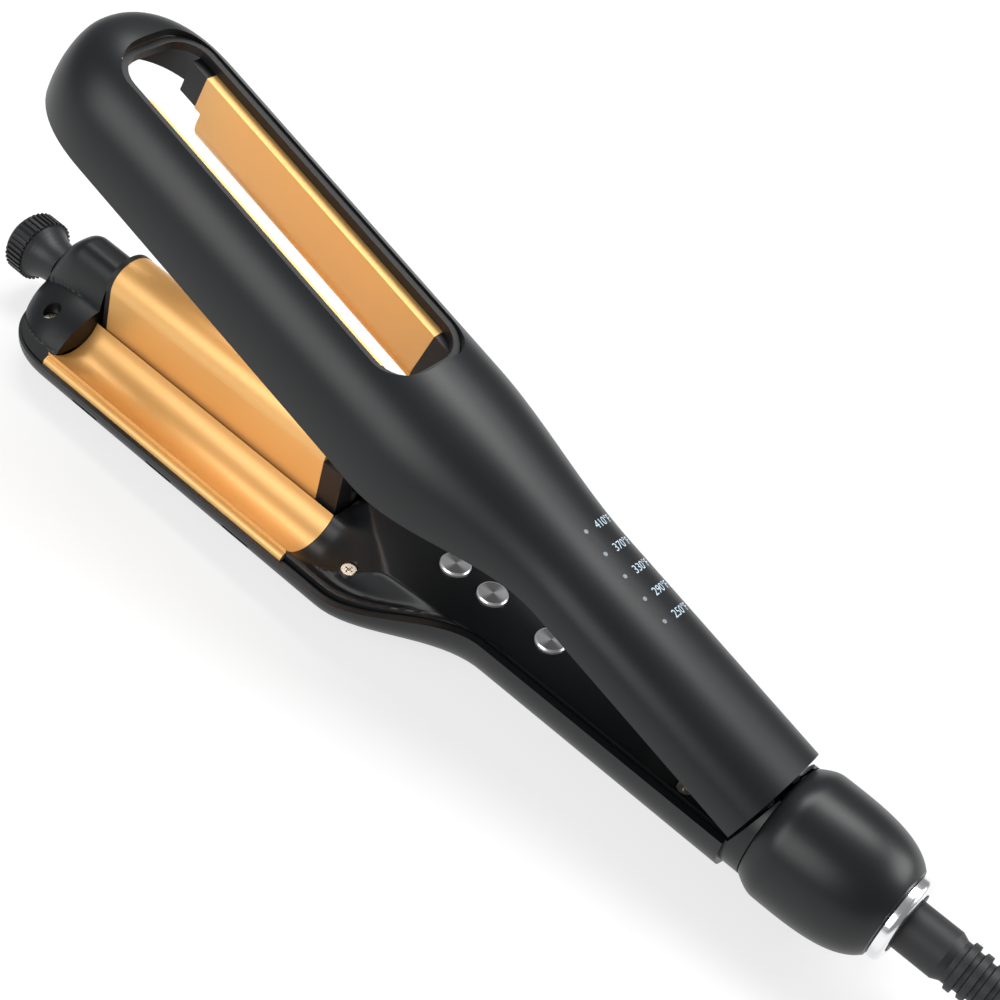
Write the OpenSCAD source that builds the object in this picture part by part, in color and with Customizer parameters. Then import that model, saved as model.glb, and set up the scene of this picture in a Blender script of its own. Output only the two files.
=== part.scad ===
// Hair waver with a scissor grip, a lifting centre barrel and a swivel cord.
// X runs from the tip to the cord, Z is up, and the floor is at zero.

/* [Arms] */
// Distance from the arms' rear end to the gold plates
plate_start = 133.8; // [131:0.1:140]
// Length of the gold plates
plate_len = 93; // [85:0.5:97]
// Length of the lower arm past the plates
tip_len = 23.2; // [22:0.1:26]
// Length of the upper arm past the plates
upper_tip_len = 32.4; // [31:0.1:35]
// Wall thickness of the casings
wall = 2.2; // [1.8:0.1:2.4]

/* [Lower arm section] */
// Width of the lower arm at the handle
handle_w = 33.4; // [32.6:0.1:35]
// Width of the lower arm at the plates
head_w = 58.7; // [58:0.1:61]
// Height of the handle's parting line above the floor
handle_rim = 21.7; // [21:0.1:23]
// Height of the plates' outer edge above the floor
plate_rim = 11; // [10.6:0.1:11.6]
// Height of the handle's underside above the floor
handle_low = 5.8; // [4.5:0.1:7]
// Distance from the rear end to the start of the widening
waist_start = 76.4; // [70:0.1:80]
// Distance from the rear end to the end of the widening
waist_end = 120; // [115:0.1:123]

/* [Upper arm section] */
// Width of the upper arm at the handle
upper_handle_w = 33.7; // [33:0.1:36]
// Width of the upper arm at the window
upper_head_w = 51; // [50.4:0.1:54]
// Height of the upper arm's back above its parting line at the handle
upper_handle_h = 14.2; // [13.6:0.1:16]
// Height of the upper arm's back above its parting line at the window
upper_head_h = 16.7; // [16.4:0.1:18]
// How far the upper arm's edge reaches down at the window
upper_drop = 10.4; // [10:0.1:10.6]
// Half width of the window
window_half_w = 12.6; // [12.2:0.1:13]

/* [Hinge] */
// Opening angle of the arms at rest
open_angle = 15.9; // [10:0.1:16.5]
// Gap between the arms' handles when closed
arm_gap = 0.6; // [0.5:0.05:0.9]
// Distance of the pin behind the arms' rear end
hinge_back = 10; // [9.5:0.1:10.5]
// Distance of the pin below the handle's parting line
hinge_drop = 2; // [1.5:0.1:2.5]
// Radius of the hinge pin
pin_r = 1.5; // [1.4:0.05:1.6]
// Clearance round the turning pins
pin_clear = 0.05; // [0.03:0.01:0.1]

/* [Plates] */
// Half width of the gap between the two troughs
trough_inner = 9.2; // [9.1:0.05:9.6]
// How much wider than half its place the hollow of a trough is
hollow_spare = 0.305; // [0.2:0.005:0.4]
// Thickness of the gold plates
plate_t = 1.6; // [1.4:0.1:1.8]
// Radius of the jaws' round face
jaw_r = 8.9; // [8.6:0.05:9]
// Half width of the centre barrel
barrel_half_w = 8.1; // [7.9:0.05:8.3]
// Height of the barrel's top above the floor when raised
barrel_top = 36.7; // [36:0.1:37.2]
// Travel of the barrel from raised to sunk
barrel_travel = 8; // [7:0.5:8]
// Thickness of the barrel's wall
barrel_t = 1.6; // [1.3:0.1:1.8]

/* [Knob] */
// Radius of the adjusting knob
knob_r = 9.4; // [8.8:0.1:9.8]
// Length of the knob's ribbed rim
knob_w = 7; // [6:0.1:8]
// Number of ribs round the knob
knob_ribs = 36; // [30:1:40]
// Height of the knob's axis above the floor
knob_z = 15.5; // [15:0.1:16]
// Radius of the lifting screw's shaft
lift_r = 2; // [1.8:0.1:2.2]

/* [Buttons] */
// Radius of the buttons
button_r = 4.2; // [3.8:0.1:4.5]
// Distance of the first button from the rear end
button_1 = 66.8; // [64:0.1:70]
// Distance of the second button from the rear end
button_2 = 86.6; // [84:0.1:88.5]
// Distance of the third button from the rear end
button_3 = 99.5; // [98.5:0.1:101]
// How far the buttons stand out of the deck
button_stand = 0.9; // [0.8:0.05:1]
// Travel of the buttons
button_travel = 0.7; // [0.5:0.05:0.8]
// Gap round each button
button_gap = 0.2; // [0.15:0.05:0.35]

/* [Lamps] */
// Number of lamps on the handle
lamp_count = 5; // [3:1:5]
// Distance between neighbouring lamps
lamp_step = 7.06; // [6.5:0.01:7.4]
// Distance of the first lamp from the rear end
lamp_start = 47.8; // [45:0.1:50]
// Radius of the clear lamp pins
lamp_r = 0.6; // [0.5:0.05:0.8]

/* [Rear end] */
// Radius of the neck
neck_r = 15.8; // [15.5:0.1:16.3]
// Radius of the swivel dome
dome_r = 18.1; // [17.8:0.1:18.6]
// Distance from the arms' rear end to the dome's seam
seam_back = 5.3; // [5:0.1:6]
// Distance from the arms' rear end to the dome's far end
dome_back = 39.2; // [38:0.1:41]
// Outer radius of the bright ring
ring_r = 11.6; // [11.3:0.1:12]
// Radius of the hole in the bright ring
ring_hole = 8.2; // [8:0.1:8.6]
// Width of the bright ring
ring_w = 3.6; // [3.2:0.1:4]
// Thickest radius of the strain relief
relief_r = 6.6; // [6.4:0.1:6.8]
// Length of the strain relief
relief_len = 45; // [42:0.5:50]

/* [Cord] */
// Diameter of the cord
cord_d = 7; // [6.5:0.1:7]
// Length of the straight runs of the put-away hank
hank_run = 105; // [105:1:115]
// Least bend of the cord in the hank, at its centre line
coil_inner = 21; // [21:0.5:22]
// Distance between neighbouring turns
coil_pitch = 7.6; // [7.6:0.1:8]

/* [Hidden] */

$fn = 48;
// A thin overlap that keeps cuts clean
eps = 0.01;
// Running gap between pieces of different bodies
run_gap = 0.3;
// Depth of the flat strip under the head
flat_cut = 0.4;
// Exponents of the two arms' round sections
lower_e = 2.46;
upper_e = 2.28;
black = [0.09, 0.1, 0.11];
soft_black = [0.05, 0.055, 0.06];
gold = [0.93, 0.68, 0.33];
steel = [0.75, 0.75, 0.76];
white = [0.9, 0.9, 0.86];
green = [0.08, 0.3, 0.16];
copper = [0.8, 0.45, 0.25];

plate_end = plate_start + plate_len;
lower_len = plate_end + tip_len;
upper_len = plate_end + upper_tip_len;
head_mid = plate_start + plate_len / 2;

// Place along X of a distance s from the arms' rear end
function at(s) = head_mid - s;
function mix(a, b, k) = a + (b - a) * k;
function ease(k) = let(t = min(1, max(0, k))) t * t * (3 - 2 * t);
function spow(v, e) = sign(v) * pow(abs(v), e);
function flat_list(a) = [for (r = a) each r];

// How far the arm has widened at s
function waist(s) = ease((s - waist_start) / (waist_end - waist_start));
function upper_waist(s) = ease((s - waist_start + 7) / (waist_end - waist_start + 10));

// How far the nose has narrowed at s, one along the arm and zero at its end
function nose(s, from, to, e) =
    let(c = min(1, max(0, (s - from) / (to - from)))) pow(max(0, 1 - pow(c, e)), 1 / e);

lower_nose = lower_len - 24.2;
upper_nose = upper_len - 30.4;
function lower_half(s) = mix(handle_w, head_w, waist(s)) / 2;
function lower_rim(s) = mix(handle_rim, plate_rim, waist(s));
function lower_bottom(s) = mix(handle_low, -flat_cut, waist(s));
function upper_half(s) = mix(upper_handle_w, upper_head_w, upper_waist(s)) / 2;
function upper_back(s) = mix(upper_handle_h, upper_head_h, upper_waist(s));
upper_zero = handle_rim + arm_gap;
function upper_rim(s) = upper_zero - upper_drop * upper_waist(s);

// Round half section through y and z, out over the arc and back along the inside
function arc_row(x, half, rim, crown, e, steps) =
    [for (i = [0 : steps])
        let(a = 180 * i / steps)
        [x, half * spow(cos(a), 2 / e), rim + (crown - rim) * pow(max(0, sin(a)), 2 / e)]];

// Closed skin between rings that all have the same number of points
module skin(rings) {
    n = len(rings[0]);
    m = len(rings);
    sides = [for (j = [0 : m - 2]) for (i = [0 : n - 1])
        let(a = j * n + i, b = j * n + (i + 1) % n)
        each [[a, b, b + n], [a, b + n, a + n]]];
    // A centre point closes each end
    ends = [for (i = [0 : n - 1]) each [
        [i, n * m, (i + 1) % n],
        [(m - 1) * n + i, (m - 1) * n + (i + 1) % n, n * m + 1]]];
    mids = [for (r = [rings[0], rings[m - 1]])
        [for (k = [0 : 2]) (r[0][k] + r[floor(n / 2)][k]) / 2]];
    polyhedron([each flat_list(rings), each mids], [each sides, each ends]);
}

// Open shell with an outer and an inner skin, rims joined, closed at the nose
module shell(outer, inner) {
    k = len(outer[0]);
    m = len(outer);
    off = k * m;
    skins = [for (j = [0 : m - 2]) for (i = [0 : k - 2])
        let(a = j * k + i, b = a + off)
        each [[a, a + 1, a + 1 + k], [a, a + 1 + k, a + k],
              [b, b + 1 + k, b + 1], [b, b + k, b + 1 + k]]];
    rims = [for (j = [0 : m - 2])
        let(a = j * k, b = a + k - 1)
        each [[a, a + k, a + k + off], [a, a + k + off, a + off],
              [b, b + k + off, b + k], [b, b + off, b + k + off]]];
    rear = [for (i = [0 : k - 2]) each [[i, i + off, i + 1 + off], [i, i + 1 + off, i + 1]]];
    t = (m - 1) * k;
    tips = [for (i = [1 : k - 2]) each [[t, t + i, t + i + 1], [t + off, t + off + i + 1, t + off + i]]];
    brow = [[t, t + k - 1, t + k - 1 + off], [t, t + k - 1 + off, t + off]];
    polyhedron([each flat_list(outer), each flat_list(inner)],
        [each skins, each rims, each rear, each tips, each brow]);
}

// Stations along an arm, close together where it narrows at the nose
function stations(from, mid, to, steps, tip_steps) = [
    for (i = [0 : steps]) mix(from, mid, i / steps),
    for (i = [1 : tip_steps]) mix(mid, to, sin(90 * i / tip_steps) * 0.999)];

function nose_row(s, s_from, s_to, half, rim, crown, e) =
    let(c = nose(s, s_from, s_to, 2.4))
    arc_row(at(s), half * c, rim, rim + (crown - rim) * (0.35 + 0.65 * c), e, 16);

module slot_plan(from, to, half, round) {
    hull() for (s = [from + round, to - round]) for (side = [-1, 1])
        translate([at(s), side * (half - round)]) circle(r = round, $fn = 32);
}

vent_len = plate_len / 9.5;
module lower_shell() {
    outer_s = stations(0, lower_nose, lower_len, 20, 7);
    inner_s = stations(0, lower_nose - 1, lower_len - wall, 20, 7);
    color(black) difference() {
        shell(
            [for (s = outer_s)
                nose_row(s, lower_nose, lower_len, lower_half(s), lower_rim(s), lower_bottom(s), lower_e)],
            [for (s = inner_s)
                nose_row(s, lower_nose - 1, lower_len - wall, lower_half(s) - wall, lower_rim(s),
                    lower_bottom(s) + wall, lower_e)]);
        // Flat strip that the arm stands on
        translate([at(lower_len) - 5, -head_w, -10]) cube([lower_len + 10, 2 * head_w, 10]);
        // Three vent slits on each side
        for (i = [0 : 2])
            translate([at(plate_start + plate_len * (0.165 + 0.318 * i)), 0, plate_rim - 3.2])
                cube([vent_len, head_w + 4, 1.2], center = true);
    }
}

// Cross profile of the trough, u inward from its outer edge, height over the rim
trough_edge = 1.24;
trough_out = head_w / 2 - trough_edge;
trough_r = (trough_out - trough_inner) / 2 + hollow_spare;
trough_rise = 8.85;
lip_r = 1.8;
trough_mid = trough_out - trough_r;
function lip(u) = sqrt(max(0, lip_r * lip_r - pow(min(u, lip_r) - lip_r, 2)));
function hollow(u) = trough_rise
    - sqrt(max(0.5, pow(trough_r, 2) - pow(min(u, trough_r * 1.93) - trough_r, 2)));
function trough_z(u) = u < lip_r ? lip(u) : min(lip_r, hollow(u)) * (u < trough_r ? 1 : 0)
    + (u < trough_r ? 0 : hollow(u));

deck_drop = 1;
deck_t = 2;
deck_inset = 0.45;
deck_edge_gap = 0.3;
deck_top = handle_rim - deck_drop;
function deck_edge(s) = lower_half(s) - wall - deck_inset;
function deck_reach(s) = mix(deck_edge(s), lower_half(s) - trough_edge, waist(s));
function crest_s(y) = plate_start - 5.3 - 1.51 * max(0, abs(y) - 2.5);
function deck_z(s, y) =
    let(k = waist(s),
        u = deck_reach(s) - abs(y),
        bead = mix(0.4, 1, k),
        base = lower_rim(s) + (u < lip_r ? max(0.35, lip(u) * bead) : mix(lip_r * bead, trough_z(u), k)),
        ramp = ease((s - crest_s(y)) / max(6, plate_start - 3 - crest_s(y))),
        fade = 0.8 + 4 * k,
        side = ease((abs(y) - (upper_half(s) - wall - 1 - fade)) / fade))
    mix(deck_top, base, max(ramp, side));
function deck_ys(s) = let(e = deck_edge(s))
    [for (u = [0, 0.7, 1.5, 2.4]) e - u, for (f = [0.8, 0.7, 0.6, 0.47, 0.34, 0.3, 0.2, 0.1]) e * f];
module deck_plate() {
    ss = [deck_edge_gap, for (s = [16, 36, 56, 72]) s, for (s = [80 : 4 : plate_start - 4]) s,
        plate_start - 0.2];
    rings = [for (s = ss)
        let(right = deck_ys(s), ys = [each right, 0, for (i = [len(right) - 1 : -1 : 0]) -right[i]])
        [for (y = ys) [at(s), y, deck_z(s, y)],
         for (i = [len(ys) - 1 : -1 : 0])
            [at(s), ys[i], deck_z(s, ys[i]) - deck_t]]];
    n = len(rings[0]);
    m = len(rings);
    h = n / 2;
    polyhedron([each flat_list(rings)], [
        for (j = [0 : m - 2]) for (i = [0 : n - 1])
            let(a = j * n + i, b = j * n + (i + 1) % n)
            each [[a, b + n, b], [a, a + n, b + n]],
        for (i = [0 : h - 2]) each [
            [i, i + 1, n - 2 - i], [i, n - 2 - i, n - 1 - i],
            [(m - 1) * n + i + 1, (m - 1) * n + i, (m - 1) * n + n - 1 - i],
            [(m - 1) * n + i + 1, (m - 1) * n + n - 1 - i, (m - 1) * n + n - 2 - i]]]);
}
screw_r = 2.1;
screw_hole = 2.4;
front_screw = [plate_start - 15.1, head_w / 2 - 10.8];
rear_screw = [16, 9.5];
spring_s = 26;
spring_r = 4.2;
cup_r = 4.9;
cup_deep = 6;
deck_screw_spots = [for (side = [-1, 1]) each [
    [front_screw[0], side * front_screw[1]], [rear_screw[0], side * rear_screw[1]]]];
function screw_z(p) = deck_z(p[0], p[1]) - 1;
module lower_deck() {
    color(soft_black) difference() {
        deck_plate();
        for (s = [button_1, button_2, button_3])
            translate([at(s), 0, deck_top - 8]) cylinder(r = button_r + button_gap, h = 20);
        translate([at(spring_s), 0, deck_top - 10]) cylinder(r = cup_r, h = 20);
        for (p = deck_screw_spots) {
            translate([at(p[0]), p[1], screw_z(p) - 0.5]) cylinder(r = screw_hole, h = 20);
            translate([at(p[0]), p[1], screw_z(p) - 10]) cylinder(r = 1, h = 20);
        }
    }
}
// Cup under the deck that the spring stands in
module spring_cup() {
    color(soft_black) translate([at(spring_s), 0, deck_top - cup_deep - 1.2]) difference() {
        cylinder(r = cup_r + 1, h = cup_deep + 1.2 - deck_t);
        translate([0, 0, 1.2]) cylinder(r = cup_r, h = 20);
    }
}
ear_y = 5.5;
ear_t = 3;

module screw(r, tall) {
    difference() {
        union() {
            cylinder(r = r, h = 1.4);
            translate([0, 0, -tall]) cylinder(r = 0.9, h = tall + eps);
        }
        for (a = [0, 90]) rotate(a) translate([0, 0, 1.2]) cube([0.5, r * 1.2, 1], center = true);
    }
}
module deck_screws() {
    color(steel) for (p = deck_screw_spots)
        translate([at(p[0]), p[1], screw_z(p) - 0.45]) screw(screw_r, 5);
}

// Thin heel, lip and hollow of one trough plate
module trough_profile() {
    inner = trough_out - trough_inner;
    difference() {
        union() {
            intersection() {
                translate([trough_r, trough_rise]) circle(r = trough_r + plate_t, $fn = 120);
                translate([lip_r, -4]) square([inner - lip_r, trough_rise + 1]);
            }
            intersection() {
                translate([lip_r, 0]) circle(r = lip_r);
                square([2 * lip_r, lip_r]);
            }
            translate([lip_r - eps, 0.05]) square([1.5, lip_r - 0.1]);
            translate([inner - plate_t, -2]) square([plate_t, 7]);
        }
        translate([trough_r, trough_rise]) circle(r = trough_r, $fn = 120);
        translate([-1, -9]) square([wall + 1 + 0.3, 9.05]);
    }
}
module trough(side) {
    color(gold) translate([at(plate_start), 0, plate_rim])
        scale([1, side, 1]) rotate([90, 0, -90]) linear_extrude(height = plate_len)
            translate([trough_out, 0]) mirror([1, 0]) trough_profile();
}
module trough_left() trough(1);
module trough_right() trough(-1);
trough_low = plate_rim + trough_rise - trough_r - plate_t;
module trough_heaters() {
    color(white) for (side = [-1, 1])
        translate([at(head_mid), side * trough_mid, trough_low - 1])
            cube([plate_len - 12, 7, 1.6], center = true);
}

// Black cap over the nose: a humped bearing tower between two round lobes
cap_start = plate_end + 0.2;
cap_end = lower_len - 0.4;
tower_top = barrel_top - 4;
tower_half = trough_inner - 0.3;
tower_end = plate_end + tip_len - 0.7;
lobe_half = upper_head_w / 2 - wall + 0.2;
function cap_half(s) = (lower_half(s) * nose(s, lower_nose, lower_len, 2.4)) - 1;
function lobe_z(s, y) =
    let(c = nose(s, cap_start + 6, lower_len + 3, 2.2))
    10 * c * pow(max(0, 1 - pow(min(1, abs(y) / (lobe_half * c)), 2.5)), 0.8);
function tower_z(s, y) =
    let(c = nose(s, tower_end - 9, tower_end + 1, 2), h = tower_half)
    abs(y) > h ? 0 : (tower_top - plate_rim) * c * pow(1 - pow(abs(y) / (h + 0.3), 2.8), 0.45);
function cap_z(s, y) = plate_rim + max(0.7, lobe_z(s, y), tower_z(s, y));
module cap_block() {
    ss = [for (i = [0 : 11]) mix(cap_start, cap_end, i / 11), cap_end + 0.35];
    fr = [0, 0.08, 0.16, 0.22, 0.28, 0.31, 0.335, 0.36, 0.45, 0.6, 0.75, 0.88, 0.96, 1];
    rings = [for (s = ss)
        let(e = max(1.5, cap_half(s)),
            right = [for (f = fr) let(y = f * cap_half(cap_start)) min(1, y / cap_half(cap_start)) * e],
            ys = [for (i = [len(fr) - 1 : -1 : 0]) right[i], for (i = [1 : len(fr) - 1]) -right[i]])
        [for (y = ys) [at(s), y, cap_z(s, y)], for (i = [len(ys) - 1 : -1 : 0]) [at(s), ys[i], plate_rim]]];
    n = len(rings[0]);
    m = len(rings);
    h = n / 2;
    polyhedron([each flat_list(rings)], [
        for (j = [0 : m - 2]) for (i = [0 : n - 1])
            let(a = j * n + i, b = j * n + (i + 1) % n)
            each [[a, b + n, b], [a, a + n, b + n]],
        for (i = [0 : h - 2]) each [
            [i, i + 1, n - 2 - i], [i, n - 2 - i, n - 1 - i],
            [(m - 1) * n + i + 1, (m - 1) * n + i, (m - 1) * n + n - 1 - i],
            [(m - 1) * n + i + 1, (m - 1) * n + n - 1 - i, (m - 1) * n + n - 2 - i]]]);
}
tip_screw_spot = [plate_end + 10.5, 16.5];
tip_screw_z = cap_z(tip_screw_spot[0] + screw_hole, tip_screw_spot[1] + screw_hole) - 0.8;
module tip_cap() {
    color(soft_black) difference() {
        cap_block();
        // Bearing of the knob's shaft
        translate([at(cap_end + 2), 0, knob_z]) rotate([0, 90, 0])
            cylinder(r = lift_r + pin_clear, h = tip_len + 4);
        for (side = [-1, 1])
            translate([at(tip_screw_spot[0]), side * tip_screw_spot[1], tip_screw_z - 1.6])
                cylinder(r = screw_hole, h = 20);
    }
}
module tip_screw() {
    color(steel) for (side = [-1, 1])
        translate([at(tip_screw_spot[0]), side * tip_screw_spot[1], tip_screw_z - 1.55])
            screw(screw_r, 0);
}

// Lifting centre barrel, drawn raised
barrel_start = plate_start + 7.7;
barrel_end = plate_end - 2.6;
barrel_low = plate_rim + 1.2;
barrel_mid_z = barrel_top - barrel_half_w;
module barrel_section(r, top, low) {
    translate([top, 0]) circle(r = r, $fn = 96);
    translate([low, -r]) square([top - low, 2 * r]);
}
module barrel() {
    color(gold) translate([at(barrel_end), 0, 0]) rotate([0, -90, 180])
        difference() {
            linear_extrude(height = barrel_end - barrel_start)
                barrel_section(barrel_half_w, barrel_mid_z, barrel_low);
            translate([0, 0, -1]) linear_extrude(height = plate_len)
                barrel_section(barrel_half_w - barrel_t, barrel_mid_z, barrel_low - 1);
        }
}
rail_in = 2.9;
rail_out = barrel_half_w - barrel_t - 0.05;
rail_h = 5.5;
guide_r = 1.2;
guide_s = [plate_start + 18, plate_end - 14];
guide_y = (rail_in + rail_out) / 2;
module barrel_carrier() {
    block_s = plate_start + 0.6;
    color(soft_black) difference() {
        union() {
            // Two rails inside the barrel
            for (side = [-1, 1])
                translate([at(barrel_end), min(side * rail_in, side * rail_out), barrel_low])
                    cube([barrel_end - barrel_start, rail_out - rail_in, rail_h]);
            // Block at the handle end
            translate([at(barrel_start), -barrel_half_w, barrel_low + 3.5])
                cube([barrel_start - block_s, 2 * barrel_half_w, barrel_mid_z - barrel_low - 3.5 + 0.6]);
            // Collar at the tip end
            translate([at(barrel_end + 1.6), 0, 0]) rotate([0, 90, 0]) linear_extrude(height = 1.6)
                mirror([1, 0]) barrel_section(barrel_half_w + 0.1, barrel_mid_z, barrel_low);
        }
        // Slot that clears the screw shaft while the barrel sinks
        translate([at(barrel_end + 5), -lift_r - 0.5, 0])
            cube([plate_len + 5, 2 * lift_r + 1, knob_z + lift_r + 0.5 + barrel_travel]);
        // Guide bores in the rails
        for (s = guide_s) for (side = [-1, 1])
            translate([at(s), side * guide_y, 0]) cylinder(r = guide_r + pin_clear, h = 40);
    }
}
module barrel_heater() {
    color(white) translate([at((barrel_start + barrel_end) / 2), 0, barrel_top - barrel_t - 2.6])
        cube([plate_len - 18, 8.2, 1.5], center = true);
}
guide_floor = wall + 0.4 - flat_cut;
foot_h = trough_low - 1.9 - guide_floor;
module barrel_guides() {
    long = guide_s[1] - guide_s[0] + 10;
    color(soft_black) {
        translate([at(guide_s[1] + 5), -8, guide_floor]) cube([long, 16, 1.2]);
        for (s = guide_s) for (side = [-1, 1])
            translate([at(s), side * guide_y, guide_floor])
                cylinder(r = guide_r, h = barrel_low + rail_h - guide_floor);
        // Feet that carry the trough heaters
        for (s = guide_s) for (side = [0, 1]) mirror([0, side, 0])
            translate([at(s) - 2, 0, guide_floor]) rotate([90, 0, 90]) linear_extrude(height = 4)
                polygon([[0, 0], [9, 0], [12, 0.4], [trough_mid + 1, 1.9], [trough_mid + 1, foot_h],
                    [trough_mid - 4, foot_h], [11.4, 1.2], [0, 1.2]]);
    }
}

// Knob with a ribbed rim and a flared neck, and the screw that it turns
knob_in = lower_len + 10.3;
module knob() {
    flare = [for (i = [0 : 8]) let(k = i / 8)
        [mix(6.2, knob_r - 1, k * k * k), mix(cap_end + 1, knob_in, k)]];
    color(soft_black) translate([at(0), 0, knob_z]) rotate([0, -90, 0]) {
        difference() {
            union() {
                rotate_extrude() polygon([[0, cap_end + 1], each flare, [knob_r - 0.6, knob_in],
                    [knob_r - 0.6, knob_in + knob_w - 0.8], [knob_r - 1.4, knob_in + knob_w],
                    [0, knob_in + knob_w]]);
                translate([0, 0, knob_in]) linear_extrude(height = knob_w - 1.2) for (i = [0 : knob_ribs - 1])
                    rotate(360 * i / knob_ribs) translate([knob_r - 1.2, -0.35]) square([1.2, 0.7]);
            }
            translate([0, 0, cap_end]) cylinder(r = lift_r, h = 6);
        }
    }
}
module lift_screw() {
    color(steel) translate([at(0), 0, knob_z]) rotate([0, -90, 0]) rotate_extrude() polygon([
        [0, plate_start + 2], [lift_r, plate_start + 2], [lift_r, cap_end + 6], [0, cap_end + 6]]);
}

// Control parts under the deck
board_z = deck_top - 9.5;
board_from = 34;
board_to = 114;
module control_board() {
    color(green) translate([at(board_to), -9.5, board_z]) cube([board_to - board_from, 19, 1.6]);
    color(soft_black) translate([at(56), -5, board_z + 1.6]) cube([9, 10, 2]);
    // Legs of the board on the casing's floor
    color(soft_black) for (s = [board_from + 4, board_from + 40]) for (side = [-1, 1])
        translate([at(s), side * 6, handle_low + wall + 1.3])
            cylinder(r = 1.5, h = board_z - handle_low - wall - 1.3);
}
switch_top = board_z + 1.6 + 3.6;
module tactile_switches() {
    color(steel) for (s = [button_1, button_2, button_3]) {
        translate([at(s) - 3, -3, board_z + 1.6]) cube([6, 6, 2.6]);
        translate([at(s), 0, board_z + 4.1]) cylinder(r = 1.6, h = 1.1);
    }
}
module button(s) {
    color(steel) {
        translate([at(s), 0, deck_top + button_stand - 3]) cylinder(r = button_r, h = 2.6);
        translate([at(s), 0, deck_top + button_stand - 0.41])
            cylinder(r1 = button_r, r2 = button_r - 0.4, h = 0.4);
        translate([at(s), 0, switch_top + button_travel + 0.2])
            cylinder(r = 1.4, h = deck_top + button_stand - 2.9 - switch_top - button_travel - 0.2);
    }
}
module button_power() button(button_1);
module button_plus() button(button_2);
module button_minus() button(button_3);
lead_r = 0.9;
lead_y = cup_r + 1 + lead_r + 0.2;
lead_z = board_z + 1.6 + lead_r;
module supply_leads() {
    color(copper) for (side = [-1, 1])
        translate([at(board_from + 2), side * lead_y, lead_z]) rotate([0, 90, 0])
            cylinder(r = lead_r, h = board_from + 2 + flange_from);
}
module thermal_fuse() {
    color(white) translate([at(plate_end - 30), trough_mid + 6.2, trough_low - 0.4]) rotate([0, 90, 0])
        cylinder(r = 1.2, h = 9);
}

// Hinge, neck and swivel
hinge_z = handle_rim - hinge_drop;
hinge_x = at(0) + hinge_back;
spigot_r = neck_r - 3.4;
module hinge_pin() {
    color(steel) translate([hinge_x, spigot_r - 1, hinge_z]) rotate([90, 0, 0])
        cylinder(r = pin_r, h = 2 * spigot_r - 2);
}
module rear_neck() {
    color(soft_black) difference() {
        union() {
            translate([at(0), 0, handle_rim]) rotate([0, 90, 0]) cylinder(r = neck_r, h = seam_back);
            translate([at(0), 0, handle_rim]) rotate([0, 90, 0]) cylinder(r = spigot_r, h = seam_back + 10);
        }
        // Slanted front that clears the upper arm's end
        translate([at(0), -30, 0]) rotate([90, 0, 180]) translate([0, 0, 0]) linear_extrude(height = 60)
            polygon([[1, handle_rim + 0.8], [-0.6, handle_rim + 0.8], [-0.6 - 22 * tan(open_angle + 1.5),
                handle_rim + 22], [1, handle_rim + 22]]);
        // Slots for the ears of the upper arm
        for (side = [-1, 1])
            translate([at(2), side * ear_y - ear_t / 2 - run_gap, hinge_z - 4.2])
                cube([40, ear_t + 2 * run_gap, 40]);
        translate([hinge_x, 20, hinge_z]) rotate([90, 0, 0]) cylinder(r = pin_r, h = 40);
        for (side = [-1, 1]) translate([at(2), side * lead_y, lead_z]) rotate([0, 90, 0])
            cylinder(r = lead_r + 0.1, h = 30);
    }
}
module swivel_dome() {
    span = dome_back - seam_back - 6.3;
    arc = [for (i = [0 : 16]) let(u = i / 16)
        [dome_r * pow(1 - pow(0.9 * u, 3.19), 1 / 3.19), seam_back + 6.3 + span * u]];
    color(soft_black) translate([at(0), 0, handle_rim]) rotate([0, 90, 0]) difference() {
        rotate_extrude() polygon([[0, seam_back], [neck_r, seam_back], each arc, [0, dome_back]]);
        translate([0, 0, seam_back - 1]) cylinder(r = spigot_r, h = 26);
        cylinder(r = ring_hole + 0.4, h = dome_back + 1);
    }
}
module chrome_ring() {
    color(steel) translate([at(0) + dome_back, 0, handle_rim]) rotate([0, 90, 0])
        rotate_extrude() polygon([[ring_hole, 0], [ring_r - 0.6, 0], [ring_r, 0.7], [ring_r, ring_w - 1.2],
            [ring_r - 0.7, ring_w - 0.3], [ring_r - 1.6, ring_w], [ring_hole, ring_w]]);
}
relief_end = dome_back + ring_w + relief_len;
flange_r = spigot_r - run_gap;
flange_from = seam_back + 20.7;
module swivel_collar() {
    color(soft_black) translate([at(0), 0, handle_rim]) rotate([0, 90, 0])
        rotate_extrude() polygon([[0, flange_from], [flange_r, flange_from],
            [flange_r, flange_from + 4], [ring_hole - pin_clear, flange_from + 4],
            [ring_hole - pin_clear, dome_back + ring_w + 0.2], [0, dome_back + ring_w + 0.2]]);
}
relief_tip_r = cord_d / 2 + 1;
module strain_relief() {
    from = dome_back + ring_w + 0.2;
    ribs = 9;
    step = (relief_len - 14) / ribs;
    color(soft_black) translate([at(0), 0, handle_rim]) rotate([0, 90, 0]) rotate_extrude() polygon([
        [0, from], [relief_r, from], [relief_r, from + 11],
        for (i = [0 : ribs - 1])
            let(z = from + 13 + i * step, r = mix(relief_r, relief_tip_r, i / (ribs - 1)))
            each [[r - 0.9, z], [r - 0.9, z + step * 0.35], [r, z + step * 0.45], [r, z + step * 0.95]],
        [relief_tip_r - 0.4, relief_end], [0, relief_end]]);
}

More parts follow.
